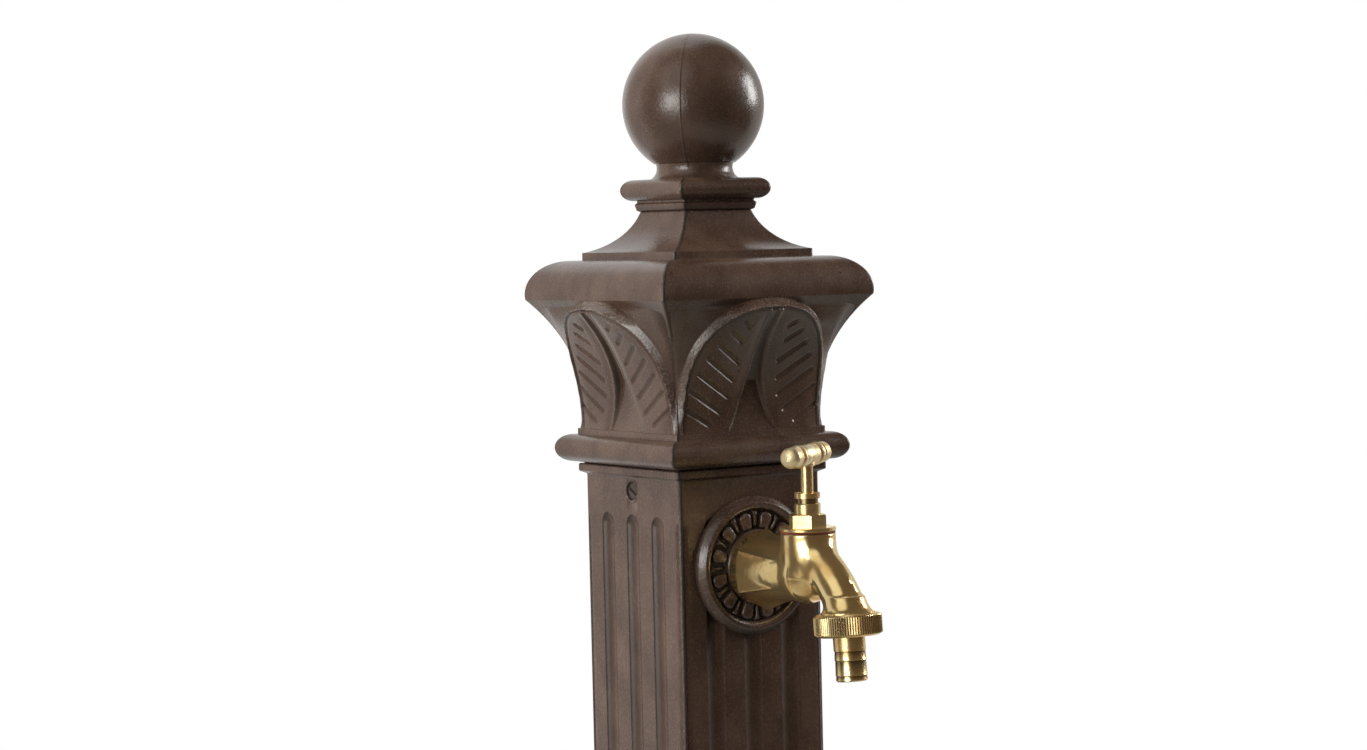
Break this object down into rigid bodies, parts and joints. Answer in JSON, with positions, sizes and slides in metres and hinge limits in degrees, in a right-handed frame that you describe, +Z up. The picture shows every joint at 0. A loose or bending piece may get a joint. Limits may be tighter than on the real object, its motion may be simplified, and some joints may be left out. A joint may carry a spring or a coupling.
{
  "type": "garden standpipe",
  "caption": "Square fluted garden standpipe with a leaf capital and a ball finial, and a brass bib tap with a tee handle and a barbed hose union on its front.",
  "frame": {"origin": "middle of the base's square foot on the ground", "axes": "+Z up the column, -Y out of the face that carries the tap, X across that face"},
  "size_m": [0.184, 0.2261, 1],
  "materials": {
    "paint": "dark brown satin coating with a fine grain on a casting",
    "steel": "plain",
    "plumbing_brass": "as cast",
    "fibre": "pressed red fibre",
    "cast_brass": "polished casting",
    "turned_brass": "turned bright",
    "rubber": "black"
  },
  "bodies": {
    "column": {"base": "paint", "shaft": "paint", "shaft_screws": "paint", "capital": "paint", "capital_screws": "paint", "finial": "paint", "finial_stud": "steel", "finial_washer": "steel", "finial_nut": "steel", "supply_socket": "plumbing_brass", "riser_pipe": "steel", "elbow": "plumbing_brass", "elbow_washer": "fibre", "elbow_locknut": "plumbing_brass", "rosette": "paint", "tap_body": "cast_brass", "bonnet_washer": "fibre", "bonnet": "turned_brass", "gland_packing": "rubber", "gland_nut": "turned_brass"},
    "valve": {"valve_jumper": "turned_brass", "valve_washer": "rubber", "valve_nut": "turned_brass"},
    "spindle": {"spindle": "turned_brass", "tee_handle": "turned_brass"},
    "hose_tail": {"hose_tail": "turned_brass", "union_washer": "rubber"},
    "union_nut": {"union_nut": "turned_brass"}
  },
  "joints": [
    {"name": "valve_lift", "type": "slide", "parent": "column", "child": "valve", "axis": [0, 0, 1], "range_m": [0, 0.005]},
    {"name": "spindle_turn", "type": "hinge", "parent": "valve", "child": "spindle", "pos_m": [0, -0.0878, 0.76], "axis": [0, 0, 1], "range_deg": [0, 900]},
    {"name": "union_slide", "type": "slide", "parent": "column", "child": "hose_tail", "axis": [0, -0.0872, -0.9962], "range_m": [0, 0.00726]},
    {"name": "union_turn", "type": "hinge", "parent": "hose_tail", "child": "union_nut", "pos_m": [0, -0.1173, 0.7237], "axis": [0, -0.0872, -0.9962], "range_deg": [0, 1440]}
  ],
  "couplings": [
    {"joint": "valve_lift", "follows": "spindle_turn", "m_per_rad": 0.00031831},
    {"joint": "union_slide", "follows": "union_turn", "m_per_rad": 0.00028871}
  ]
}
